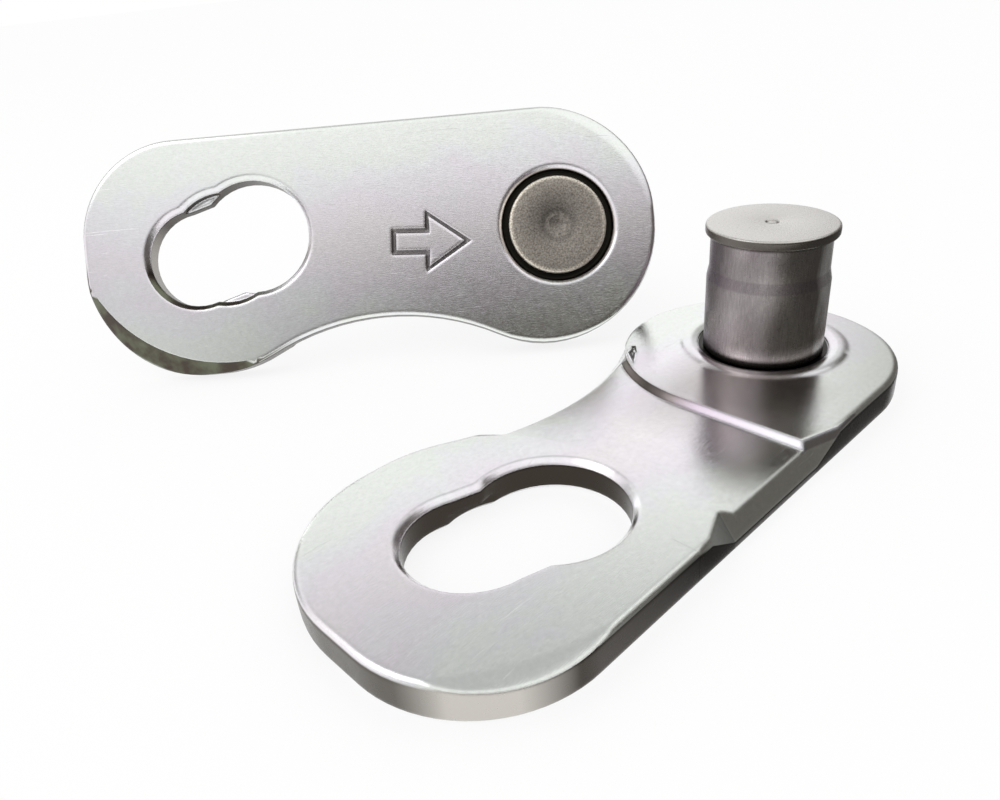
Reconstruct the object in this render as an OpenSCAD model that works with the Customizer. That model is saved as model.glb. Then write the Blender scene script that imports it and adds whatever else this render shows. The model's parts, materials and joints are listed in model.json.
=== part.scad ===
// Connecting link of a roller chain, shown as its two identical halves.
// Each half is a stamped plate with a riveted pin and a keyhole slot.
// Millimetres. A half lies in its own frame: the pin's axis is Z, the plate's
// inner face is Z = 0, +X runs to the slot and +Y to the straight long edge.
// The front half lies flat on its outer face. The rear half stands beside it
// on its waisted edge and leans back on its pin.

/* [Plate] */
// Distance from the pin's axis to the locked end of the slot, the chain's pitch
pitch = 12.7; // [12.2:0.1:13.2]
// Thickness of the plate
plate_t = 0.95; // [0.85:0.05:1.15]
// Reach of the straight edge from the pins' line
plate_w = 4.2; // [4.1:0.05:4.3]
// Reach of the two lobes on the waisted side
lobe_y = 4.1; // [4.05:0.05:4.2]
// Reach of the pin end behind the pin's axis
pin_end_l = 3.45; // [3.3:0.05:3.6]
// Reach of the slot end beyond the locked pin
slot_end_l = 3.95; // [3.8:0.05:4.1]
// Radius of both corners of the pin end
pin_end_r = 4; // [3.9:0.05:4.05]
// Radius of the slot end's corner on the straight side
slot_straight_r = 3.4; // [3.2:0.05:3.6]
// Radius of the slot end's corner on the waisted side
slot_waist_r = 3.8; // [3.7:0.05:3.9]
// Radius of the slot end's lobe where it turns into the waist
slot_lobe_r = 4.1; // [4:0.05:4.2]
// How far that lobe is centred back from the locked pin
slot_lobe_back = 0.4; // [0.3:0.05:0.5]
// Radius of the waist between the two lobes
waist_r = 8.6; // [7.6:0.2:10]
// Rounding of the plate's edges
edge_r = 0.16; // [0.1:0.02:0.2]

/* [Slot] */
// How far the entry hole lies back from the locked end
entry_run = 1.98; // [1.8:0.02:2.2]
// How far the entry hole is skewed to the straight side
entry_skew = 0.58; // [0.4:0.02:0.7]
// Radial play of the flange in the entry hole
flange_play = 0.03; // [0.02:0.01:0.08]
// Radial play of the locking groove in the narrow end
groove_play = 0.03; // [0.02:0.01:0.08]
// How much narrower on each side the neck is than the locked end
neck_pinch = 0.02; // [0.01:0.01:0.03]
// Width of the broken edge round the slot, on both faces
slot_break = 0.16; // [0.08:0.02:0.2]
// Extra half width of the neck's middle on the outer side, a round relief
neck_relief = 0.26; // [0.2:0.02:0.28]
// Depth of that relief from the outer face
neck_relief_t = 0.42; // [0.3:0.02:0.6]

/* [Coined pocket] */
// Depth of the pocket across the inner face
pocket_depth = 0.18; // [0.12:0.02:0.26]
// Land left round the pin end, measured from its corners' centre line
pin_land_r = 4.0; // [3.8:0.05:4.2]
// Land left round the slot end, measured from its corner's centre line
slot_land_r = 4.5; // [4.3:0.05:4.7]
// Run of the pocket's wall on the pin side
pin_wall_run = 0.16; // [0.08:0.02:0.24]
// Run of the pocket's wall on the slot side
slot_wall_run = 0.32; // [0.2:0.02:0.4]
// Width of the chamfer along the straight edge, beside the pocket
side_chamfer_w = 0.34; // [0.2:0.02:0.4]
// Drop of that chamfer below the pocket
side_chamfer_h = 0.45; // [0.3:0.05:0.55]
// Length over which that chamfer runs out at the pin's end
chamfer_pin_run = 1.5; // [1:0.1:2]
// Length over which that chamfer runs out at the slot's end
chamfer_slot_run = 1.2; // [1:0.1:2]
// How far its full depth passes the pocket on the slot's side
side_chamfer_past = 0.1; // [0.1:0.1:0.8]
// Width of the chamfer along the waist, beside the pocket
waist_chamfer_w = 0.26; // [0.16:0.02:0.36]
// Drop of that chamfer below the pocket
waist_chamfer_h = 0.22; // [0.14:0.02:0.3]

/* [Corner bevels] */
// Drop of the slot end's deep bevel
bevel_h = 0.5; // [0.3:0.05:0.55]
// Widest part of that bevel, on the waisted corner of the outer face
slot_bevel_w = 0.66; // [0.6:0.02:0.7]
// Widest part of the bevel on the pin end's straight corner, outer face
pin_bevel_w = 0.46; // [0.4:0.02:0.5]
// Widest part of the bevel on the slot end's straight corner, inner face
inner_bevel_w = 0.5; // [0.44:0.02:0.54]
// Drop of the two shallow bevels at their deepest
shallow_bevel_h = 0.16; // [0.1:0.02:0.24]
// Direction in which the slot end's deep bevel is widest, from its corner's centre
slot_bevel_turn = -58; // [-62:1:-54]
// Direction in which the pin end's bevel is widest
pin_bevel_turn = 136; // [132:1:140]
// Direction in which the inner face's bevel is widest
inner_bevel_turn = 63; // [60:1:65]

/* [Pin] */
// Height of the pin above the plate's inner face
pin_h = 3.95; // [3.6:0.05:4.3]
// Radius of the pin's shaft
shaft_r = 1.83; // [1.8:0.01:1.86]
// Radius of the flange at the pin's free end
flange_r = 1.93; // [1.88:0.01:1.95]
// Thickness of the flange
flange_t = 0.34; // [0.26:0.02:0.42]
// Rounding of the flange's rim
flange_e = 0.1; // [0.06:0.02:0.12]
// Radius of the locking groove under the flange
groove_r = 1.66; // [1.6:0.01:1.68]
// Play of the plate between the flange and the groove's cone
lock_play = 0.04; // [0.02:0.01:0.08]
// Height of the cone between the groove and the shaft
cone_h = 0.34; // [0.2:0.02:0.5]
// Radius of the pin's seat in the plate, between its shoulder and its riveted head
seat_r = 1.58; // [1.5:0.01:1.62]
// Radius of the riveted head
head_r = 1.72; // [1.68:0.01:1.76]
// Size of the broken edge of the riveted head
head_break = 0.1; // [0.06:0.02:0.16]
// Radius of the centre mark in the pin's free end
mark_r = 0.2; // [0.12:0.02:0.3]
// Radius of the centre mark in the riveted head
head_mark_r = 0.52; // [0.4:0.02:0.7]
// Depth of both centre marks
mark_depth = 0.06; // [0.04:0.01:0.1]

/* [Hole for the pin] */
// Radius of the sunk ring round the riveted head
head_sink_r = 1.94; // [1.9:0.01:1.98]
// Depth of the sunk ring
head_sink_t = 0.26; // [0.2:0.02:0.34]
// Width of the broken edge round the sunk ring
head_sink_break = 0.16; // [0.1:0.02:0.22]
// Radius of the relief round the shaft's foot
foot_r = 2.01; // [1.96:0.01:2.03]
// Depth of the relief round the shaft's foot
foot_t = 0.06; // [0.04:0.02:0.1]
// Radius of the raised bead round the foot, at its crest
bead_r = 2.32; // [2.28:0.01:2.38]
// Half width of the bead
bead_w = 0.3; // [0.2:0.02:0.32]
// Height of the bead
bead_h = 0.08; // [0.06:0.01:0.11]

/* [Rear half] */
// Place of the rear half's pin along X
rear_x = 0.8; // [0:0.1:1.5]
// Place of the rear half's pin along Y
rear_y = -8; // [-9:0.1:-8]
// Turn of the rear half about the vertical
rear_turn = -41.5; // [-45:0.5:-35]

/* [Hidden] */
$fn = 96;
// Overlap that makes a cutter reach past a face
past = 1;
// Steps of each rounded corner, of the slot end's lobe, of the waist and of each rounded edge
corner_steps = 20;
lobe_steps = 6;
waist_steps = 16;
edge_steps = 4;
// Half the angle within which a corner bevel runs out
bevel_span = 75;
// Offset of the bevels' cones in bevel widths: a larger one makes a longer bevel
bevel_offset = 3.3;
inner_bevel_offset = 9.2;

// Centres of the outline's corners
tip_x = pitch + slot_end_l;
pin_end_x = pin_end_r - pin_end_l;
slot_end_x = tip_x - slot_waist_r;
slot_straight_x = tip_x - slot_straight_r;
slot_lobe_x = pitch - slot_lobe_back;
pin_straight_y = plate_w - pin_end_r;
pin_waist_y = pin_end_r - lobe_y;
slot_straight_y = plate_w - slot_straight_r;
slot_waist_y = slot_waist_r - lobe_y;
slot_lobe_y = slot_lobe_r - lobe_y;

entry_r = flange_r + flange_play;
lock_r = groove_r + groove_play;
neck_half = lock_r - neck_pinch;
entry_x = pitch - entry_run;
neck_run = norm([entry_run, entry_skew]);
neck_turn = -atan2(entry_skew, entry_run);

// The waist's arc touches both lobes, so its centre and its turn at each follow from them
lobe_span = norm([slot_lobe_x - pin_end_x, slot_lobe_y - pin_waist_y]);
lobe_tilt = atan2(slot_lobe_y - pin_waist_y, slot_lobe_x - pin_end_x);
waist_to_pin = pin_end_r + waist_r;
waist_to_slot = slot_lobe_r + waist_r;
waist_run = (pow(waist_to_pin, 2) - pow(waist_to_slot, 2) + pow(lobe_span, 2)) / (2 * lobe_span);
pin_waist_turn = asin(waist_run / waist_to_pin) + lobe_tilt;
slot_waist_turn = asin((lobe_span - waist_run) / waist_to_slot) - lobe_tilt;
waist_x = pin_end_x + waist_to_pin * sin(pin_waist_turn);
waist_y = pin_waist_y - waist_to_pin * cos(pin_waist_turn);

// The pocket's walls where they cross the straight side
pocket_left = pin_end_x + pin_land_r;
pocket_right = slot_end_x - slot_land_r;

// The bead is the top of a ring whose section is this circle
bead_section_r = (bead_w * bead_w + bead_h * bead_h) / (2 * bead_h);
bead_z = bead_h - bead_section_r;

groove_l = plate_t + lock_play;
flange_z = pin_h - flange_t;
cone_top = flange_z - groove_l;
cone_foot = cone_top - cone_h;

// Standing pose: the floor touches the plate's rounded edge and the flange's rim
floor_z = -plate_t;
lean_y = (lobe_y - edge_r) - (flange_r - flange_e);
lean_z = pin_h - flange_e + edge_r;
lean = atan2(lean_y, lean_z) + asin((edge_r - flange_e) / norm([lean_y, lean_z]));
rear_rise = cos(lean) * (lobe_y - edge_r) - sin(lean) * edge_r + edge_r;

function arc_points(x, y, r, from, to, steps) =
    [for (i = [0:steps]) let (a = from + (to - from) * i / steps) [x + r * cos(a), y + r * sin(a)]];

// Outline of the blank, anticlockwise from the top of the pin end, drawn inwards by inset.
// The lobes and the waist touch each other, so the waist's own end points are left out.
function outline(inset) =
    let (waist = arc_points(waist_x, waist_y, waist_r + inset,
                            90 + pin_waist_turn, 90 - slot_waist_turn, waist_steps))
    concat(
        arc_points(pin_end_x, pin_straight_y, pin_end_r - inset, 90, 180, corner_steps),
        arc_points(pin_end_x, pin_waist_y, pin_end_r - inset, 180, 270 + pin_waist_turn, corner_steps),
        [for (i = [1:waist_steps - 1]) waist[i]],
        arc_points(slot_lobe_x, slot_lobe_y, slot_lobe_r - inset, 270 - slot_waist_turn, 270, lobe_steps),
        arc_points(slot_end_x, slot_waist_y, slot_waist_r - inset, 270, 360, corner_steps),
        arc_points(slot_straight_x, slot_straight_y, slot_straight_r - inset, 0, 90, corner_steps)
    );

// Inset and height of each ring of the blank, from its inner face round to its outer face
edge_rings = concat(
    [for (i = [0:edge_steps]) let (a = 90 * i / edge_steps)
        [edge_r * (1 - sin(a)), edge_r * (cos(a) - 1)]],
    [for (i = [0:edge_steps]) let (a = 90 * i / edge_steps)
        [edge_r * (1 - cos(a)), edge_r * (1 - sin(a)) - plate_t]]
);

// The stamped blank: its outline lofted through the rings of its rounded edges
module blank() {
    rings = [for (ring = edge_rings) [for (p = outline(ring[0])) [p[0], p[1], ring[1]]]];
    count = len(rings[0]);
    last = (len(rings) - 1) * count;
    polyhedron(
        points = [for (ring = rings) each ring],
        faces = concat(
            [[for (i = [count - 1:-1:0]) i]],
            [for (k = [0:len(rings) - 2]) for (i = [0:count - 1]) let (j = (i + 1) % count)
                [k * count + i, k * count + j, (k + 1) * count + j, (k + 1) * count + i]],
            [[for (i = [0:count - 1]) last + i]]
        )
    );
}

// Turns a cutter made for the inner face over to the outer face
module on_outer() {
    translate([0, 0, -plate_t]) mirror([0, 0, 1]) children();
}

// Straight run of the slot between its two round ends
module neck(half, low, high) {
    translate([entry_x, entry_skew, low]) rotate([0, 0, neck_turn])
        translate([0, -half, 0]) cube([neck_run, 2 * half, high - low]);
}

module slot_round(x, y, r, low, high) {
    translate([x, y, low]) cylinder(r = r, h = high - low);
}

module edge_cone(x, y, r) {
    translate([x, y, -slot_break]) cylinder(r1 = r, r2 = r + 2 * slot_break, h = 2 * slot_break);
}

// Broken edge of the slot on the inner face
module slot_edge() {
    wide = neck_half + 2 * slot_break;
    edge_cone(entry_x, entry_skew, entry_r);
    edge_cone(pitch, 0, lock_r);
    translate([entry_x, entry_skew, 0]) rotate([0, 0, neck_turn]) rotate([90, 0, 90])
        linear_extrude(height = neck_run) polygon([
            [-neck_half, -slot_break], [neck_half, -slot_break], [wide, slot_break], [-wide, slot_break]
        ]);
}

module slot() {
    relief = neck_half + neck_relief;
    middle = [(entry_x + pitch) / 2, entry_skew / 2];
    slot_round(entry_x, entry_skew, entry_r, -plate_t - past, past);
    slot_round(pitch, 0, lock_r, -plate_t - past, past);
    slot_round(middle[0], middle[1], relief, -plate_t - past, neck_relief_t - plate_t);
    neck(neck_half, -plate_t - past, past);
    slot_edge();
    on_outer() {
        slot_edge();
        edge_cone(middle[0], middle[1], relief);
    }
}

// Land that stays full height round one end, as a cone for a cutter to leave
module land(x, r, run) {
    slope = run / pocket_depth;
    translate([x, 0, -pocket_depth - past])
        cylinder(r1 = r + run + slope * past, r2 = r - slope * past,
                 h = pocket_depth + 2 * past, $fn = 180);
}

// Coined pocket: round lands on the waisted side, straight walls on the other
module pocket() {
    left_slope = pin_wall_run / pocket_depth;
    right_slope = slot_wall_run / pocket_depth;
    difference() {
        translate([pin_end_x, -lobe_y - past, -pocket_depth])
            cube([slot_end_x - pin_end_x, lobe_y + past, pocket_depth + past]);
        land(pin_end_x, pin_land_r, pin_wall_run);
        land(slot_end_x, slot_land_r, slot_wall_run);
    }
    translate([0, plate_w + past, 0]) rotate([90, 0, 0])
        linear_extrude(height = plate_w + past) polygon([
            [pocket_left + pin_wall_run, -pocket_depth],
            [pocket_right - slot_wall_run, -pocket_depth],
            [pocket_right + right_slope * past, past], [pocket_left - left_slope * past, past]
        ]);
}

// Chamfer of the straight edge beside the pocket, running out at both ends
module side_chamfer() {
    slope = side_chamfer_h / side_chamfer_w;
    inner = plate_w - side_chamfer_w;
    deep = pocket_depth + side_chamfer_h;
    right = pocket_right + side_chamfer_past;
    reach = 1 + past / deep;
    intersection() {
        translate([pocket_left - chamfer_pin_run, 0, 0]) rotate([90, 0, 90])
            linear_extrude(height = right - pocket_left + chamfer_pin_run + chamfer_slot_run) polygon([
                [inner - (pocket_depth + past) / slope, past],
                [plate_w + past, -deep - past * slope], [plate_w + past, past]
            ]);
        translate([0, plate_w + 2 * past, 0]) rotate([90, 0, 0])
            linear_extrude(height = plate_w) polygon([
                [pocket_left - chamfer_pin_run * reach, past], [pocket_left, -deep],
                [pocket_left, -deep - past * slope], [right, -deep - past * slope],
                [right, -deep], [right + chamfer_slot_run * reach, past]
            ]);
    }
}

// Chamfer of the waist between the two lands, a cone about the waist's centre
module waist_chamfer() {
    slope = waist_chamfer_w / waist_chamfer_h;
    deep = pocket_depth + waist_chamfer_h;
    difference() {
        translate([waist_x, waist_y, -deep - past])
            cylinder(r1 = waist_r - slope * past, r2 = waist_r + slope * (deep + past),
                     h = deep + 2 * past, $fn = 360);
        for (end = [[pin_end_x, pin_land_r], [slot_end_x, slot_land_r]])
            translate([end[0], 0, -deep - 2 * past]) cylinder(r = end[1], h = deep + 4 * past);
    }
}

// Bevel of one corner of the inner face: what lies outside an eccentric cone is cut
// away. width and drop are its size where it is widest, at this angle.
module corner_bevel(x, y, corner_r, angle, width, drop, offset) {
    shift = width * offset;
    r = corner_r + shift - width;
    translate([x, y, 0]) difference() {
        rotate([0, 0, angle - bevel_span]) rotate_extrude(angle = 2 * bevel_span)
            translate([corner_r - width - past, -2 * drop]) square([width + 2 * past, 3 * drop]);
        translate([-shift * cos(angle), -shift * sin(angle), -3 * drop])
            cylinder(r1 = r + 3 * width, r2 = r - 2 * width, h = 5 * drop, $fn = 240);
    }
}

// Raised bead round the shaft's foot: the ring is cut off inside the plate, so
// that nothing of it reaches the outer face
module bead() {
    intersection() {
        rotate_extrude() translate([bead_r, bead_z]) circle(r = bead_section_r, $fn = 48);
        translate([0, 0, -plate_t / 2]) cylinder(r = bead_r + bead_section_r + past, h = plate_t);
    }
}

// Stamped plate of one half, in the half's own frame
module plate() {
    difference() {
        union() {
            blank();
            bead();
        }
        slot();
        pocket();
        side_chamfer();
        waist_chamfer();
        on_outer() {
            corner_bevel(slot_end_x, slot_waist_y, slot_waist_r, slot_bevel_turn,
                         slot_bevel_w, bevel_h, bevel_offset);
            corner_bevel(pin_end_x, pin_straight_y, pin_end_r, pin_bevel_turn,
                         pin_bevel_w, shallow_bevel_h, bevel_offset);
        }
        corner_bevel(slot_straight_x, slot_straight_y, slot_straight_r, inner_bevel_turn,
                     inner_bevel_w, shallow_bevel_h, inner_bevel_offset);
        translate([0, 0, -plate_t - past]) cylinder(r = seat_r, h = plate_t + 2 * past);
        translate([0, 0, -plate_t - past]) cylinder(r = head_sink_r, h = head_sink_t + past);
        translate([0, 0, -plate_t - head_sink_break])
            cylinder(r1 = head_sink_r + 2 * head_sink_break, r2 = head_sink_r, h = 2 * head_sink_break);
        translate([0, 0, -foot_t]) cylinder(r = foot_r, h = foot_t + past);
    }
}

// Turned pin of one half: riveted head, seat, shaft, locking groove and flange
module pin() {
    difference() {
        rotate_extrude() {
            polygon([
                [0, -plate_t], [head_r - head_break, -plate_t], [head_r, head_break - plate_t],
                [head_r, head_sink_t - plate_t], [seat_r, head_sink_t - plate_t],
                [seat_r, -foot_t], [shaft_r, -foot_t], [shaft_r, cone_foot],
                [groove_r, cone_top], [groove_r, flange_z], [flange_r - flange_e, flange_z],
                [flange_r - flange_e, pin_h], [0, pin_h]
            ]);
            translate([groove_r - flange_e, flange_z + flange_e])
                square([flange_r - groove_r + flange_e, flange_t - 2 * flange_e]);
            for (z = [flange_z + flange_e, pin_h - flange_e])
                translate([flange_r - flange_e, z]) circle(r = flange_e, $fn = 32);
        }
        translate([0, 0, pin_h - mark_depth]) cylinder(r1 = 0, r2 = 2 * mark_r, h = 2 * mark_depth);
        translate([0, 0, -plate_t - mark_depth])
            cylinder(r1 = head_mark_r + mark_depth, r2 = head_mark_r - mark_depth, h = 2 * mark_depth);
    }
}

// Places the rear half: turned up on its waisted edge and leant back on its pin
module standing() {
    translate([rear_x, rear_y, floor_z + rear_rise])
        rotate([0, 0, rear_turn]) rotate([90 + lean, 0, 0]) children();
}

module front_plate() { color([0.84, 0.83, 0.82]) plate(); }
module front_pin() { color([0.52, 0.49, 0.47]) pin(); }
module rear_plate() { color([0.84, 0.83, 0.82]) standing() plate(); }
module rear_pin() { color([0.52, 0.49, 0.47]) standing() pin(); }

front_plate();
front_pin();
rear_plate();
rear_pin();
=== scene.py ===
import json
import math

import bpy
from mathutils import Matrix, Vector

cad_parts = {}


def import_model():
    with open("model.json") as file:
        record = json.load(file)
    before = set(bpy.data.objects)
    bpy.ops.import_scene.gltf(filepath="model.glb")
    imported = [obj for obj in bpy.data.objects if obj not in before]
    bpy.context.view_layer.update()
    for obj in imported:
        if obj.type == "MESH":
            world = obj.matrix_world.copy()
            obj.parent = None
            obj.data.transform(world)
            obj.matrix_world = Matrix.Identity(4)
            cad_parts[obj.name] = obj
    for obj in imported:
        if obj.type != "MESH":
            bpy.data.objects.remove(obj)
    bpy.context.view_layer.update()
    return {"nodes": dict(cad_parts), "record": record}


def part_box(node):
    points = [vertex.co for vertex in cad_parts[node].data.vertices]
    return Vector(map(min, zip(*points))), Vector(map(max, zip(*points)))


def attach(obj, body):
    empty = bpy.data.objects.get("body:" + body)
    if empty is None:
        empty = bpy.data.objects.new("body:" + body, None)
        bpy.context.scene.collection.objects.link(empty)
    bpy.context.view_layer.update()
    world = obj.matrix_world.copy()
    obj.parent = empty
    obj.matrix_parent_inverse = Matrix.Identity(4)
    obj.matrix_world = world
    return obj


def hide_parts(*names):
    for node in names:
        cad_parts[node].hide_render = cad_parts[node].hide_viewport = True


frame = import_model()

# Modelling is done in millimetres in a half's own frame: the origin is where the pin's
# axis meets the inner face, X runs to the slot, Y to the straight edge and Z up the pin.
MM = 0.001

# Camera, fitted to the photograph's viewing angle
CAMERA_AT = (21.74, 11.37, 11.56)
CAMERA_TURN = (60.773, 4.493, 135.435)
CAMERA_LENS = 28.9
CAMERA_CLIP = (0.0005, 5)

# Plate and pin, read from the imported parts
PLATE_T = -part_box("front_plate")[0].z / MM
PIN_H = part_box("front_pin")[1].z / MM
FLANGE_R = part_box("front_pin")[1].x / MM

# Riveted head of the pin, with a shallow dish in its face and a dot sunk in the dish
HEAD_R = 1.72
HEAD_T = 0.26
HEAD_BREAK = 0.1
DISH_R = 0.52
DISH_T = 0.03
DISH_RIM_T = 0.035
DISH_LIP = 0.04
DOT_R = 0.3
DOT_T = 0.05
MARK_SLOPE = 0.03

# Seat, shaft, cone, locking groove and flange of the pin
SEAT_R = 1.58
FOOT_T = 0.06
SHAFT_R = 1.83
SHAFT_BREAK = 0.05
CONE_FOOT = 2.28
CONE_TOP = 2.62
GROOVE_R = 1.765
FLANGE_T = 0.3
FLANGE_Z = PIN_H - FLANGE_T
FLANGE_ROUND = 0.08
FLANGE_ARC = 80
FLANGE_BREAK = 0.02

# Centre mark in the pin's free end: a round groove about a slightly sunk middle
CENTRE_R = 0.17
CENTRE_LINE = 0.045
CENTRE_T = 0.05
CENTRE_MIDDLE_T = 0.015

# Steps round the pin, the rounding of its edges, and the angle that makes an edge
PIN_STEPS = 144
PIN_EDGE = 0.02
PIN_EDGE_ANGLE = 35

# Faces that meet at less than this angle shade as one curved surface
PIN_SMOOTH = 40
PLATE_SMOOTH = 32

# Points closer than this are one point, and faces within this angle are one face
WELD = 0.0005
SAME_FACE = 0.3

# Direction arrow on the outer face, drawn from its tip towards the slot
ARROW_TIP = (3.2, -0.28)
ARROW_HEAD_L = 1.42
ARROW_HEAD_HALF = 0.98
ARROW_SHAFT_L = 2.6
ARROW_SHAFT_HALF = 0.38
ARROW_TURN = 4.0
ARROW_LINE_R = 0.14
ARROW_LINE_UP = 0.05

# Small dent on the pin's land, beside the start of the pocket's curved step
DENT_FROM = (2.62, -3.1)
DENT_TO = (2.98, -2.78)
DENT_R = 0.07
DENT_SIDES = 24

# Chamfer of the straight edge beside the pocket: where its full depth begins and ends
# along X, how far it runs out at both ends, and its width and depth below the land
CHAMFER_FROM = 4.55
CHAMFER_TO = 8.45
CHAMFER_RUNS = (1.5, 1.2)
CHAMFER_W = 0.476
CHAMFER_D = 0.63
# Length of the cutter's rising ends, in runs
CHAMFER_SPARE = 1.4

# The straight edge, and the bars that fill it beyond the chamfer's full depth
STRAIGHT_Y = 4.2
EDGE_ROUND = 0.16
EDGE_ROUND_STEPS = 6
BAR_FROM = 2.7
BAR_TO = 9.9
BAR_W = 0.75
BAR_T = 0.8
BAR_PROUD = 0.002

# Most of a noise's values lie between these
NOISE = (0.3, 0.7)

# In the finishes, a region's span along a place is where it begins and is full, and
# then, where it also ends, where it starts to end and has ended. The places are x, y and
# z, across from the middle line, radius from the pin's axis, and facing, which is 1 on
# surfaces square to the pin and 0 on walls along it.

# Plating: tints from the middle line out to the plate's edges, and their mottling
PEARL = [(0.50, (0.94, 0.90, 0.92)), (0.72, (0.93, 0.89, 0.94)),
         (0.92, (0.92, 0.93, 0.94)), (1.0, (0.92, 0.95, 0.91))]
PEARL_ACROSS = 0.17
MOTTLING = (0.93, 1.02)

# Patch beside the pin with a painted dark reflection
DARK_REFLECTION_PATCH = {"radius": (2.3, 2.6, 4.2, 6.6), "x": (1.0, 2.2), "z": (-0.3, -0.25)}
DARK_REFLECTION_MIDDLE = 0.9
DARK_REFLECTION_HALF = (2.6, 1.2)
DARK_REFLECTION_COLOUR = (0.27, 0.235, 0.21, 1)
DARK_REFLECTION_SHARE = 0.5

# Scratches along the plate, from three noises: each one's scale along, across and up, the
# turn in degrees that makes it differ from the others, and the threshold that keeps its
# crests few
SCRATCHES = [((0.3, 24, 1), 24, 0.70), ((0.45, 30, 1), -38, 0.72), ((0.6, 30, 1), 80, 0.74)]
SCRATCH_EDGE = 0.05
SCRATCH_COLOUR = (0.97, 0.96, 0.94, 1)
SCRATCH_SHARE = 0.5
SCRATCH_HEIGHT = -0.6

# Pocket's step, with a painted dark reflection in colours from the waist to the straight edge
STEP = {"facing": (0.5, 0.6, 0.80, 0.92), "x": (2.4, 2.5, 4.8, 4.9), "z": (-0.24, -0.2)}
STEP_REFLECTION_COLOURS = [(0.34, (0.09, 0.078, 0.07)), (0.47, (0.22, 0.19, 0.19)),
                (0.58, (0.42, 0.36, 0.42)), (0.95, (0.52, 0.51, 0.54))]
STEP_Y = (-4.0, 4.0)

# Sheared walls, duller steel with a painted dark reflection and a lighter painted band, in colours
# from the pin to the tip of the slot end
WALL = {"facing": (0.55, 0.28)}
WALL_REFLECTION_COLOURS = [(0.69, (0.05, 0.042, 0.034)), (0.75, (0.62, 0.59, 0.55)),
                (0.80, (0.62, 0.59, 0.55)), (0.825, (0.12, 0.11, 0.095))]
WALL_X = (0, 20)

# Deep bevel of the slot end's corner, with a painted dark reflection mottled with greenish painted
# highlights
BEVEL = {"facing": (0.5, 0.6, 0.86, 0.95), "x": (9.3, 11.0), "y": (0.2, -0.4), "z": (-0.4, -0.5)}
BEVEL_REFLECTION_COLOURS = [(0.40, (0.085, 0.070, 0.058)), (0.62, (0.16, 0.17, 0.12))]

# Painted shade in the gap round the pin and in the arrow's line
GAP = {"radius": (1.6, 1.62, 1.96, 2.0)}
GAP_SHADE_COLOUR = (0.02, 0.018, 0.015, 1)
LINE = {"x": (2.9, 3.0, 6.2, 6.3), "across": (1.6, 1.5), "z": (-0.942, -0.93, -0.84, -0.8)}
LINE_SHADE_COLOUR = (0.10, 0.085, 0.08, 1)
LINE_SHADE_SHARE = 0.75

# Brushed grain along the plate, its roughness, and the softness of its edges
GRAIN_SCALE = (4, 60, 60)
GRAIN_TURN = 28
GRAIN_HEIGHT = 0.5
PLATE_ROUGH = (0.1, 0.17)
WALL_ROUGH = 0.12
PLATE_SOFT = 0.15

# Shaft: its colours round it, from the side away from the slot and back to it, painted
# shade and a painted highlight strip, purple where the steel was hardened, and how far they sway
# on their way up
SHAFT_TINT_AND_SHADING = [
    (0.0, (0.34, 0.32, 0.30)), (0.24, (0.30, 0.27, 0.27)), (0.32, (0.16, 0.10, 0.15)),
    (0.37, (0.10, 0.06, 0.09)), (0.44, (0.17, 0.145, 0.15)), (0.55, (0.46, 0.42, 0.42)),
    (0.64, (0.24, 0.22, 0.20)), (0.73, (0.20, 0.18, 0.165)), (0.78, (0.75, 0.73, 0.71)),
    (0.95, (0.34, 0.32, 0.30))]
SWAY = (-0.035, 0.035)
SWAY_SCALE = (0.8, 0.8, 0.25)
TURNING_SCALE = (30, 30, 3)
TURNING_TONE = (0.8, 1.15)

# Riveted head, with the tones of its rings from the middle out to HEAD_RINGS_R
HEAD = {"z": (-0.7, -0.8)}
HEAD_COLOURS = [(0.36, (0.18, 0.16, 0.14)), (0.64, (0.52, 0.48, 0.43))]
HEAD_RINGS = [(0.0, (0.75, 0.75, 0.75)), (0.20, (0.95, 0.95, 0.95)), (0.26, (0.6, 0.6, 0.6)),
              (0.34, (0.85, 0.85, 0.85)), (0.78, (1.2, 1.2, 1.2)), (0.83, (2.6, 2.6, 2.5))]
HEAD_RINGS_R = 2.0

# Flange's rim, the pin's free end, and painted shade on the cone
RIM = {"z": (FLANGE_Z, FLANGE_Z + 0.03)}
RIM_COLOUR = (0.16, 0.145, 0.13, 1)
TOP = {"z": (PIN_H - 0.05, PIN_H - 0.01)}
TOP_COLOURS = [(0.3, (0.66, 0.64, 0.61)), (0.7, (0.80, 0.78, 0.75))]
CONE = {"z": (CONE_FOOT, CONE_FOOT + 0.06, CONE_TOP, CONE_TOP + 0.06)}
CONE_SHADE_COLOUR = (0.10, 0.07, 0.10, 1)
CONE_SHADE_SHARE = 0.3

# Painted shade on the shaft under the flange and above the foot
UNDER_FLANGE = {"z": (FLANGE_Z - 0.1, FLANGE_Z - 0.03)}
ABOVE_FOOT = {"z": (0.26, 0.12)}
SHAFT = {"z": (-0.3, -0.2, FLANGE_Z + 0.02, FLANGE_Z + 0.05)}
SHAFT_SHADE_COLOUR = (0.045, 0.038, 0.034, 1)
SHAFT_SHADE_SHARE = 0.8

# Roughness of the pin, and the softness of its edges
PIN_ROUGH = (0.24, 0.36)
HEAD_ROUGH = 0.2
PIN_SOFT = 0.03

# Strength and height of both finishes' bumps
BUMP_STRENGTH = 0.2
BUMP_HEIGHT = 0.02

# Floor: its size, its own grey, and how much plain white the camera sees instead
WHITE = (1, 1, 1, 1)
FLOOR_SIZE = 900
FLOOR_GREY = (0.9, 0.9, 0.9, 1)
FLOOR_ROUGH = 0.8
FLOOR_WHITE = 0.85
# Dark flags on the floor, beside the straight edge and behind the pin end, in metres.
# Only reflections show them.
FLAG_BESIDE = {"x": (13 * MM, 9 * MM), "y": (4.1 * MM, 4.4 * MM)}
FLAG_BEHIND = {"x": (-2.7 * MM, -3.3 * MM), "y": (-1 * MM, 1 * MM)}
FLAG_COLOUR = (0.03, 0.026, 0.022, 1)

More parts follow.
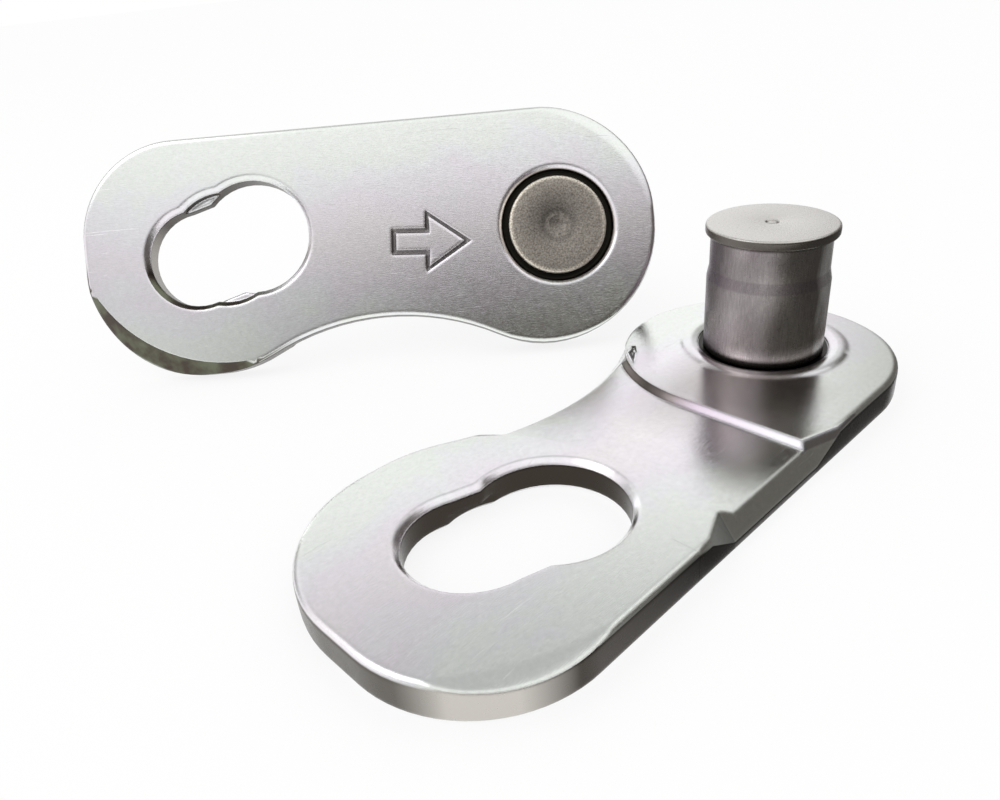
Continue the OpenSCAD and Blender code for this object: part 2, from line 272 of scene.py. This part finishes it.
# Shades of the studio, which only reflections show. Each lies towards an azimuth, in
# degrees from X. It begins and is full at two cosines of the angle from that azimuth,
# and at two heights of the direction.
GREY = (0.1, 0.1, 0.1, 1)
DARK = (0.06, 0.05, 0.04, 1)
SHADES = [
    {"azimuth": 236, "near": (0.5, 0.8), "height": (0.56, 0.72), "share": 0.55, "colour": GREY},
    {"azimuth": 25, "near": (0.6, 0.9), "height": (0.68, 0.58), "share": 0.42, "colour": GREY},
    {"azimuth": 268, "near": (0.8, 0.95), "height": (0.5, 0.3), "share": 0.752, "colour": DARK},
    {"azimuth": 116, "near": (-0.05, 0.35), "height": (0.71, 0.57), "share": 0.94, "colour": DARK},
]

# Key lamp
KEY_AT = (60, -40, 90)
KEY_TOWARDS = (5, -6, 0)
KEY_SIZE = 70
KEY_WATTS = 0.014


def only(piece):
    """Selects one object by itself and makes it the active one."""
    bpy.ops.object.select_all(action="DESELECT")
    piece.select_set(True)
    bpy.context.view_layer.objects.active = piece


def mount(name):
    """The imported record's mount of this name."""
    return next(m for m in frame["record"]["mounts"] if m["name"] == name)


def pin_axis(half):
    """Direction from the half's plate up its pin."""
    return Vector(mount(half + "_pin")["axis"]).normalized()


def place_of(half):
    """The half's own frame in the scene, from the millimetres that it is modelled in."""
    origin = Vector(mount(half + "_pin")["pos_m"])
    up = pin_axis(half)
    along = (Vector(mount(half + "_slot")["pos_m"]) - origin).normalized()
    place = Matrix((along, up.cross(along), up)).transposed().to_4x4()
    place.translation = origin
    return place @ Matrix.Scale(MM, 4)


def settle(piece, place):
    """Moves a piece by this place and applies it, so that the place is in its mesh."""
    only(piece)
    piece.matrix_world = place
    bpy.ops.object.transform_apply(location=True, rotation=True, scale=True)


def modify(piece, kind, **values):
    """Adds one modifier to the piece and applies it."""
    only(piece)
    modifier = piece.modifiers.new(kind.title(), kind)
    for name, value in values.items():
        setattr(modifier, name, value)
    bpy.ops.object.modifier_apply(modifier=modifier.name)


def combine(piece, other, operation):
    """Adds the other object's shape to the piece, or takes it out of it."""
    modify(piece, "BOOLEAN", operation=operation, solver="EXACT", object=other)
    bpy.data.objects.remove(other)


def extrude(move):
    """Extrudes what is selected in edit mode by this move."""
    bpy.ops.mesh.extrude_region_move(TRANSFORM_OT_translate={"value": move})


def drawn(name, points):
    """One vertex extruded from point to point. The line is left selected in edit mode."""
    bpy.ops.object.select_all(action="DESELECT")
    bpy.ops.mesh.primitive_plane_add(size=1, location=(0, 0, 0))
    piece = bpy.context.active_object
    piece.name = name
    bpy.ops.object.mode_set(mode="EDIT")
    bpy.ops.mesh.merge(type="CENTER")
    bpy.ops.transform.translate(value=points[0])
    for start, end in zip(points, points[1:]):
        extrude(Vector(end) - Vector(start))
    bpy.ops.mesh.select_all(action="SELECT")
    return piece


def swept(name, section, start, moves):
    """A closed section of (y, z) points, drawn out from X = start by one move after another."""
    piece = drawn(name, [(start, y, z) for y, z in section])
    bpy.ops.mesh.edge_face_add()
    for move in moves:
        extrude(move)
    bpy.ops.mesh.select_all(action="SELECT")
    bpy.ops.mesh.normals_make_consistent(inside=False)
    bpy.ops.object.mode_set(mode="OBJECT")
    return piece


def turned(name, profile):
    """A solid of revolution: the profile of (radius, height) points is spun round Z."""
    piece = drawn(name, [(r, 0, z) for r, z in profile])
    bpy.ops.mesh.spin(steps=PIN_STEPS, angle=2 * math.pi, center=(0, 0, 0), axis=(0, 0, 1))
    bpy.ops.mesh.select_all(action="SELECT")
    bpy.ops.mesh.remove_doubles(threshold=WELD)
    bpy.ops.mesh.normals_make_consistent(inside=False)
    bpy.ops.object.mode_set(mode="OBJECT")
    return piece


def smooth(piece, angle):
    """Shades the piece smooth, apart from edges sharper than this angle in degrees."""
    only(piece)
    bpy.ops.object.shade_smooth_by_angle(angle=math.radians(angle))


def arc(centre_r, centre_z, radius, start, end, steps=5):
    """Profile points along an arc, with its angles in degrees."""
    angles = [math.radians(start + (end - start) * i / steps) for i in range(steps + 1)]
    return [(centre_r + radius * math.cos(a), centre_z + radius * math.sin(a)) for a in angles]


def pin_profile():
    """Outline of the pin, from the middle of its riveted head up to its flange's centre."""
    outer = -PLATE_T
    rim = FLANGE_R - FLANGE_ROUND
    return (
        [(0, outer + DOT_T), (DOT_R - MARK_SLOPE, outer + DOT_T), (DOT_R, outer + DISH_T)]
        + [(DISH_R - MARK_SLOPE, outer + DISH_RIM_T), (DISH_R + DISH_LIP, outer)]
        + arc(HEAD_R - HEAD_BREAK, outer + HEAD_BREAK, HEAD_BREAK, -90, 0)
        + [(HEAD_R, outer + HEAD_T), (SEAT_R, outer + HEAD_T), (SEAT_R, -FOOT_T)]
        + [(SHAFT_R - SHAFT_BREAK, -FOOT_T), (SHAFT_R, SHAFT_BREAK - FOOT_T)]
        + [(SHAFT_R, CONE_FOOT), (GROOVE_R, CONE_TOP), (GROOVE_R, FLANGE_Z)]
        + [(rim - FLANGE_BREAK, FLANGE_Z)]
        + arc(rim, FLANGE_Z + FLANGE_ROUND, FLANGE_ROUND, -FLANGE_ARC, 0)
        + arc(rim, PIN_H - FLANGE_ROUND, FLANGE_ROUND, 0, FLANGE_ARC)
        + [(rim - FLANGE_BREAK, PIN_H), (CENTRE_R + CENTRE_LINE, PIN_H)]
        + [(CENTRE_R, PIN_H - CENTRE_T), (CENTRE_R - CENTRE_LINE, PIN_H - CENTRE_MIDDLE_T)]
        + [(0, PIN_H - CENTRE_MIDDLE_T)]
    )


def pin(half):
    """The turned pin of one half, with the small rounds of its edges."""
    piece = turned(half + "_pin_turned", pin_profile())
    modify(piece, "BEVEL", width=PIN_EDGE, segments=2, limit_method="ANGLE",
           angle_limit=math.radians(PIN_EDGE_ANGLE))
    smooth(piece, PIN_SMOOTH)
    return piece


def arrow_cutter():
    """A thin round bar bent along the arrow's outline, to cut its engraved line."""
    points = [(0, 0), (ARROW_HEAD_L, ARROW_HEAD_HALF), (ARROW_HEAD_L, ARROW_SHAFT_HALF)]
    points += [(ARROW_SHAFT_L, ARROW_SHAFT_HALF), (ARROW_SHAFT_L, -ARROW_SHAFT_HALF)]
    points += [(ARROW_HEAD_L, -ARROW_SHAFT_HALF), (ARROW_HEAD_L, -ARROW_HEAD_HALF)]
    line = bpy.data.curves.new("arrow_line", "CURVE")
    line.dimensions = "3D"
    spline = line.splines.new("POLY")
    spline.points.add(len(points) - 1)
    for point, (x, y) in zip(spline.points, points):
        point.co = (x, y, 0, 1)
    spline.use_cyclic_u = True
    line.bevel_depth = ARROW_LINE_R
    line.bevel_resolution = 3
    cutter = bpy.data.objects.new("arrow_cutter", line)
    bpy.context.scene.collection.objects.link(cutter)
    cutter.location = (*ARROW_TIP, -PLATE_T - ARROW_LINE_UP)
    cutter.rotation_euler.z = math.radians(ARROW_TURN)
    only(cutter)
    bpy.ops.object.convert(target="MESH")
    return bpy.context.active_object


def edge_bar(start, end):
    """A length of the straight edge at full height, to lay in where the chamfer is cut."""
    inner = STRAIGHT_Y - BAR_W
    section = [(inner, -BAR_T), (STRAIGHT_Y + BAR_PROUD, -BAR_T)]
    section += arc(STRAIGHT_Y - EDGE_ROUND, -EDGE_ROUND, EDGE_ROUND + BAR_PROUD, 0, 90,
                   EDGE_ROUND_STEPS)
    section += [(inner, BAR_PROUD)]
    return swept("edge_bar", section, start, [(end - start, 0, 0)])


def chamfer_cutter():
    """A wedge along the straight edge that rises out of the plate at both ends, so that
    the chamfer narrows evenly and ends in two slanting ridges."""
    before, after = (run * CHAMFER_SPARE for run in CHAMFER_RUNS)
    rise = CHAMFER_D * CHAMFER_SPARE
    inner, outer = STRAIGHT_Y - 2 * CHAMFER_W, STRAIGHT_Y + CHAMFER_W
    section = [(inner, rise + CHAMFER_D), (outer, rise - 2 * CHAMFER_D), (outer, rise + CHAMFER_D)]
    moves = [(before, 0, -rise), (CHAMFER_TO - CHAMFER_FROM, 0, 0), (after, 0, rise)]
    return swept("chamfer_cutter", section, CHAMFER_FROM - before, moves)


def dent_cutter():
    """A short round bar lying along the land, half sunk in it."""
    start, end = Vector((*DENT_FROM, 0)), Vector((*DENT_TO, 0))
    run = end - start
    bpy.ops.mesh.primitive_cylinder_add(vertices=DENT_SIDES, radius=DENT_R, depth=run.length,
                                        location=(start + end) / 2,
                                        rotation=run.to_track_quat("Z", "Y").to_euler())
    return bpy.context.active_object


def plate(half):
    """The half's stamped plate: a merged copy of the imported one, with the final form of
    its chamfer, the engraved arrow and a small dent."""
    node = frame["nodes"][half + "_plate"]
    piece = bpy.data.objects.new(half + "_plate_plated", node.data.copy())
    bpy.context.scene.collection.objects.link(piece)
    settle(piece, place_of(half).inverted())
    bpy.ops.object.mode_set(mode="EDIT")
    bpy.ops.mesh.select_all(action="SELECT")
    bpy.ops.mesh.customdata_custom_splitnormals_clear()
    bpy.ops.mesh.remove_doubles(threshold=WELD)
    bpy.ops.mesh.dissolve_limited(angle_limit=math.radians(SAME_FACE))
    bpy.ops.object.mode_set(mode="OBJECT")
    for start, end in ((BAR_FROM, CHAMFER_FROM), (CHAMFER_TO, BAR_TO)):
        combine(piece, edge_bar(start, end), "UNION")
    for cutter in (chamfer_cutter, arrow_cutter, dent_cutter):
        combine(piece, cutter(), "DIFFERENCE")
    smooth(piece, PLATE_SMOOTH)
    modify(piece, "WEIGHTED_NORMAL", keep_sharp=True, weight=80)
    return piece


class Nodes:
    """The node tree of a material or of the world, with short ways to add and join nodes."""

    def __init__(self, owner):
        owner.use_nodes = True
        self.tree = owner.node_tree

    def add(self, kind, links=(), **values):
        node = self.tree.nodes.new("ShaderNode" + kind)
        for name, value in values.items():
            setattr(node, name, value)
        for socket, source in dict(links).items():
            self.join(source, node.inputs[socket])
        return node

    def join(self, source, socket):
        """Links an output to the socket, or sets the socket to a plain value."""
        if isinstance(source, bpy.types.NodeSocket):
            self.tree.links.new(source, socket)
        else:
            socket.default_value = source

    def split(self, vector):
        parts = self.add("SeparateXYZ", {"Vector": vector}).outputs
        return {"x": parts["X"], "y": parts["Y"], "z": parts["Z"]}

    def dot(self, vector, direction):
        node = self.add("VectorMath", {0: vector, 1: direction}, operation="DOT_PRODUCT")
        return node.outputs["Value"]

    def noise(self, vector, scale=1.0, detail=3.0, roughness=0.6, distortion=0.0):
        node = self.add("TexNoise", {"Vector": vector, "Scale": scale, "Detail": detail,
                                     "Roughness": roughness, "Distortion": distortion})
        return node.outputs["Fac"]

    def stretched(self, vector, scale, turn=0):
        """Coordinates scaled along each axis, and then turned about Z by degrees."""
        turned_by = (0, 0, math.radians(turn))
        mapping = self.add("Mapping", {"Vector": vector, "Rotation": turned_by, "Scale": scale})
        return mapping.outputs["Vector"]

    def ramp(self, value, stops):
        node = self.add("ValToRGB", {"Fac": value})
        while len(node.color_ramp.elements) < len(stops):
            node.color_ramp.elements.new(0.5)
        for element, (position, colour) in zip(node.color_ramp.elements, stops):
            element.position = position
            element.color = (*colour, 1)
        return node.outputs["Color"]

    def spread(self, value, span, low=0.0, high=1.0):
        """The value's span spread from low to high, and level beyond it."""
        node = self.add("MapRange", {"Value": value, "From Min": span[0], "From Max": span[1],
                                     "To Min": low, "To Max": high})
        return node.outputs["Result"]

    def math(self, operation, a, b=0.0):
        return self.add("Math", {0: a, 1: b}, operation=operation).outputs["Value"]

    def mix(self, factor, a, b, blend="MIX"):
        node = self.add("Mix", {"Factor": factor, 6: a, 7: b}, data_type="RGBA", blend_type=blend)
        return node.outputs[2]

    def cover(self, colour, other, mask, share=1.0):
        """The colour, covered with a share of the other one where the mask holds."""
        return self.mix(self.math("MULTIPLY", mask, share), colour, other)

    def product(self, *masks):
        """Where all of these masks hold."""
        result = masks[0]
        for mask in masks[1:]:
            result = self.math("MULTIPLY", result, mask)
        return result

    def region(self, places, spans):
        """Where each place lies in its span."""
        masks = []
        for name, (begins, full, *ends) in spans.items():
            masks.append(self.spread(places[name], (begins, full)))
            if ends:
                masks.append(self.spread(places[name], (ends[1], ends[0])))
        return self.product(*masks)


class Steel(Nodes):
    """Bare metal on one half's piece, with its places in the half's own frame."""

    def __init__(self, half, name):
        self.material = bpy.data.materials.new(half + "_" + name)
        super().__init__(self.material)
        place = place_of(half)
        coordinates = self.add("TexCoord").outputs["Object"]
        mapping = self.add("Mapping", {"Vector": coordinates}, vector_type="TEXTURE")
        mapping.inputs["Location"].default_value = place.translation
        mapping.inputs["Rotation"].default_value = place.to_euler()
        mapping.inputs["Scale"].default_value = (MM, MM, MM)
        self.at = mapping.outputs["Vector"]
        self.places = self.split(self.at)
        x, y = self.places["x"], self.places["y"]
        square = self.math("ADD", self.math("MULTIPLY", x, x), self.math("MULTIPLY", y, y))
        self.places["radius"] = self.math("SQRT", square)

    def where(self, spans):
        return self.region(self.places, spans)

    def finish(self, colour, rough, height, soft):
        """Joins the finish to the shader, with edges softened within soft millimetres."""
        shader = self.tree.nodes["Principled BSDF"]
        shader.inputs["Metallic"].default_value = 1.0
        edges = self.add("Bevel", {"Radius": soft * MM}, samples=6).outputs["Normal"]
        bump = self.add("Bump", {"Height": height, "Strength": BUMP_STRENGTH,
                                 "Distance": BUMP_HEIGHT * MM, "Normal": edges})
        self.join(colour, shader.inputs["Base Color"])
        self.join(rough, shader.inputs["Roughness"])
        self.join(bump.outputs["Normal"], shader.inputs["Normal"])
        return self.material


def pearly(steel):
    """Nickel plating, rose along the middle line and greenish at the edges, mottled."""
    cloud = steel.noise(steel.at, scale=0.35, detail=4.0, distortion=0.5)
    across = steel.math("MULTIPLY", steel.places["across"], PEARL_ACROSS)
    tint = steel.ramp(steel.math("ADD", across, cloud), PEARL)
    mottling = steel.noise(steel.at, scale=7.0, detail=6.0, roughness=0.75)
    return steel.mix(1.0, tint, steel.spread(mottling, NOISE, *MOTTLING), "MULTIPLY")


def painted_dark_reflection(steel, colour):
    """The colour, with a painted dark reflection in a patch beside the pin."""
    off_middle = steel.math("SUBTRACT", steel.places["y"], DARK_REFLECTION_MIDDLE)
    strip = steel.spread(steel.math("ABSOLUTE", off_middle), DARK_REFLECTION_HALF)
    patch = steel.product(steel.where(DARK_REFLECTION_PATCH), strip)
    return steel.cover(colour, DARK_REFLECTION_COLOUR, patch, DARK_REFLECTION_SHARE)


def scratches(steel):
    """Thin straight streaks: the crests of noises that are drawn out along the plate."""
    lines = 0.0
    for scale, turn, threshold in SCRATCHES:
        streaks = steel.noise(steel.stretched(steel.at, scale, turn))
        crests = steel.spread(streaks, (threshold, threshold + SCRATCH_EDGE))
        lines = steel.math("MAXIMUM", lines, crests)
    return lines


def sheared_with_painted_reflections(steel, colour, wall):
    """The colour, with painted dark reflections on the pocket's step, the duller sheared walls and
    the deep bevel.
    """
    # Painted dark reflection on the pocket's step
    step = steel.ramp(steel.spread(steel.places["y"], STEP_Y), STEP_REFLECTION_COLOURS)
    colour = steel.cover(colour, step, steel.where(STEP))
    # Painted dark reflection with a lighter painted band on the duller sheared walls
    along = steel.ramp(steel.spread(steel.places["x"], WALL_X), WALL_REFLECTION_COLOURS)
    colour = steel.cover(colour, along, wall)
    # Painted dark reflection with greenish painted highlights on the deep bevel
    overlay = steel.ramp(steel.noise(steel.at, scale=1.3, roughness=0.5), BEVEL_REFLECTION_COLOURS)
    return steel.cover(colour, overlay, steel.where(BEVEL))


def plated_steel(half):
    """Bright nickel plating: pearly tints, fine mottling, brushed grain and scratches, a painted
    dark reflection beside the pin, and painted shade in the gap round the pin and in the arrow's
    line.
    The duller sheared walls, the pocket's step and the deep bevel carry painted dark reflections."""
    steel = Steel(half, "plated_steel")
    steel.places["across"] = steel.math("ABSOLUTE", steel.places["y"])
    normal = steel.add("NewGeometry").outputs["Normal"]
    steel.places["facing"] = steel.math("ABSOLUTE", steel.dot(normal, pin_axis(half)))
    lines = scratches(steel)
    wall = steel.where(WALL)
    # Painted dark reflection in a patch beside the pin
    colour = painted_dark_reflection(steel, pearly(steel))
    colour = steel.cover(colour, SCRATCH_COLOUR, lines, SCRATCH_SHARE)
    colour = sheared_with_painted_reflections(steel, colour, wall)
    # Painted shade in the gap round the pin
    colour = steel.cover(colour, GAP_SHADE_COLOUR, steel.where(GAP))
    # Painted shade in the arrow's engraved line
    colour = steel.cover(colour, LINE_SHADE_COLOUR, steel.where(LINE), LINE_SHADE_SHARE)
    rough = steel.spread(steel.noise(steel.at, scale=3.0, detail=4.0), NOISE, *PLATE_ROUGH)
    rough = steel.math("ADD", rough, steel.math("MULTIPLY", wall, WALL_ROUGH))
    grain = steel.noise(steel.stretched(steel.at, GRAIN_SCALE, GRAIN_TURN))
    height = steel.math("ADD", steel.math("MULTIPLY", grain, GRAIN_HEIGHT),
                        steel.math("MULTIPLY", lines, SCRATCH_HEIGHT))
    return steel.finish(colour, rough, height, PLATE_SOFT)


def tinted_and_shaded(steel):
    """Painted shade and a painted highlight strip round the shaft, with a purple heat tint, which
    sway a little on their way up.
    """
    around = steel.math("ARCTAN2", steel.places["y"], steel.places["x"])
    sway = steel.noise(steel.stretched(steel.at, SWAY_SCALE))
    around = steel.math("ADD", steel.spread(around, (-math.pi, math.pi)),
                        steel.spread(sway, NOISE, *SWAY))
    return steel.ramp(around, SHAFT_TINT_AND_SHADING)


def riveted(steel, colour, grains, head):
    """The colour, with the grainy rings of the riveted head."""
    rings = steel.ramp(steel.spread(steel.places["radius"], (0, HEAD_RINGS_R)), HEAD_RINGS)
    overlay = steel.mix(1.0, steel.ramp(grains, HEAD_COLOURS), rings, "MULTIPLY")
    return steel.cover(colour, overlay, head)


def shaded_ends(steel, colour):
    """The colour, with painted shade on the shaft under the flange and above the foot."""
    ends = steel.math("MAXIMUM", steel.where(UNDER_FLANGE), steel.where(ABOVE_FOOT))
    painted_shade = steel.product(ends, steel.where(SHAFT))
    return steel.cover(colour, SHAFT_SHADE_COLOUR, painted_shade, SHAFT_SHADE_SHARE)


def pin_steel(half):
    """Turned and hardened steel: brown-grey, with painted highlight and shade streaked along the
    shaft, its riveted head grainy and dull, its free end paler, and painted shade under the
    flange, above the foot and on the cone."""
    steel = Steel(half, "pin_steel")
    turning = steel.noise(steel.stretched(steel.at, TURNING_SCALE))
    grains = steel.noise(steel.at, scale=16.0, detail=4.0, roughness=0.8)
    head = steel.where(HEAD)
    tone = steel.spread(turning, NOISE, *TURNING_TONE)
    # Painted highlight and shade round the shaft, with a purple heat tint
    colour = steel.mix(1.0, tinted_and_shaded(steel), tone, "MULTIPLY")
    colour = riveted(steel, colour, grains, head)
    colour = steel.cover(colour, RIM_COLOUR, steel.where(RIM))
    colour = steel.cover(colour, steel.ramp(grains, TOP_COLOURS), steel.where(TOP))
    # Painted shade on the cone
    colour = steel.cover(colour, CONE_SHADE_COLOUR, steel.where(CONE), CONE_SHADE_SHARE)
    # Painted shade on the shaft under the flange and above the foot
    colour = shaded_ends(steel, colour)
    rough = steel.math("ADD", steel.spread(grains, NOISE, *PIN_ROUGH),
                       steel.math("MULTIPLY", head, HEAD_ROUGH))
    return steel.finish(colour, rough, steel.math("ADD", turning, grains), PIN_SOFT)


def finish_with(piece, material, node):
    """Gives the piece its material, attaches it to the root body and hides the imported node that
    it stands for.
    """
    piece.data.materials.clear()
    piece.data.materials.append(material)
    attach(piece, "root")
    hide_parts(node)


def half_link(half):
    """One half of the link: its plated plate and its riveted pin."""
    body = plate(half)
    settle(body, place_of(half))
    finish_with(body, plated_steel(half), half + "_plate")
    post = pin(half)
    settle(post, place_of(half))
    finish_with(post, pin_steel(half), half + "_pin")


def camera():
    """The camera, at the photograph's viewing angle."""
    data = bpy.data.cameras.new("camera")
    data.lens = CAMERA_LENS
    data.clip_start, data.clip_end = CAMERA_CLIP
    eye = bpy.data.objects.new("camera", data)
    eye.location = Vector(CAMERA_AT) * MM
    eye.rotation_euler = [math.radians(a) for a in CAMERA_TURN]
    bpy.context.scene.collection.objects.link(eye)
    bpy.context.scene.camera = eye


def pale_floor():
    """Pale grey that is mostly white to the camera, so that only the part's soft shadow
    shows. Reflections also see the dark flags."""
    material = bpy.data.materials.new("pale_floor")
    nodes = Nodes(material)
    grey = nodes.tree.nodes["Principled BSDF"]
    grey.inputs["Base Color"].default_value = FLOOR_GREY
    grey.inputs["Roughness"].default_value = FLOOR_ROUGH
    path = nodes.add("LightPath").outputs
    seen = nodes.math("MAXIMUM", path["Is Camera Ray"], path["Is Glossy Ray"])
    seen = nodes.math("MAXIMUM", seen, path["Is Transmission Ray"])
    places = nodes.split(nodes.add("NewGeometry").outputs["Position"])
    flags = nodes.math("MAXIMUM", nodes.region(places, FLAG_BESIDE),
                       nodes.region(places, FLAG_BEHIND))
    colour = nodes.cover(WHITE, FLAG_COLOUR, flags, path["Is Glossy Ray"])
    white = nodes.add("Emission", {"Color": colour, "Strength": 1.0})
    blend = nodes.add("MixShader", {0: nodes.math("MULTIPLY", seen, FLOOR_WHITE),
                                    1: grey.outputs[0], 2: white.outputs[0]})
    nodes.join(blend.outputs[0], nodes.tree.nodes["Material Output"].inputs["Surface"])
    return material


def floor():
    """A wide floor under the front half's outer face."""
    bpy.ops.object.select_all(action="DESELECT")
    bpy.ops.mesh.primitive_plane_add(size=1, location=(0, 0, -PLATE_T * MM))
    ground = bpy.context.active_object
    ground.name = "floor"
    ground.scale = (FLOOR_SIZE * MM, FLOOR_SIZE * MM, 1)
    ground.data.materials.append(pale_floor())


def key_lamp():
    """One large round lamp, high above the scene."""
    data = bpy.data.lights.new("key", "AREA")
    data.shape = "DISK"
    data.size = KEY_SIZE * MM
    data.energy = KEY_WATTS
    lamp = bpy.data.objects.new("key", data)
    lamp.location = Vector(KEY_AT) * MM
    aim = Vector(KEY_TOWARDS) - Vector(KEY_AT)
    lamp.rotation_euler = aim.to_track_quat("-Z", "Y").to_euler()
    bpy.context.scene.collection.objects.link(lamp)


def world():
    """White surroundings at a plain level. Reflections also see the studio's shades,
    which have soft edges."""
    sky = bpy.data.worlds.new("studio")
    nodes = Nodes(sky)
    way = nodes.split(nodes.add("TexCoord").outputs["Generated"])
    level = nodes.add("CombineXYZ", {"X": way["x"], "Y": way["y"]}).outputs[0]
    level = nodes.add("VectorMath", {0: level}, operation="NORMALIZE").outputs["Vector"]
    colour = WHITE
    for shade in SHADES:
        azimuth = math.radians(shade["azimuth"])
        near = nodes.dot(level, (math.cos(azimuth), math.sin(azimuth), 0))
        mask = nodes.product(nodes.spread(near, shade["near"]),
                             nodes.spread(way["z"], shade["height"]))
        colour = nodes.cover(colour, shade["colour"], mask, shade["share"])
    reflected = nodes.add("LightPath").outputs["Is Glossy Ray"]
    nodes.join(nodes.mix(reflected, WHITE, colour), nodes.tree.nodes["Background"].inputs["Color"])
    bpy.context.scene.world = sky


camera()
world()
floor()
key_lamp()
for side in ("front", "rear"):
    half_link(side)

bpy.context.scene.view_settings.view_transform = "Standard"
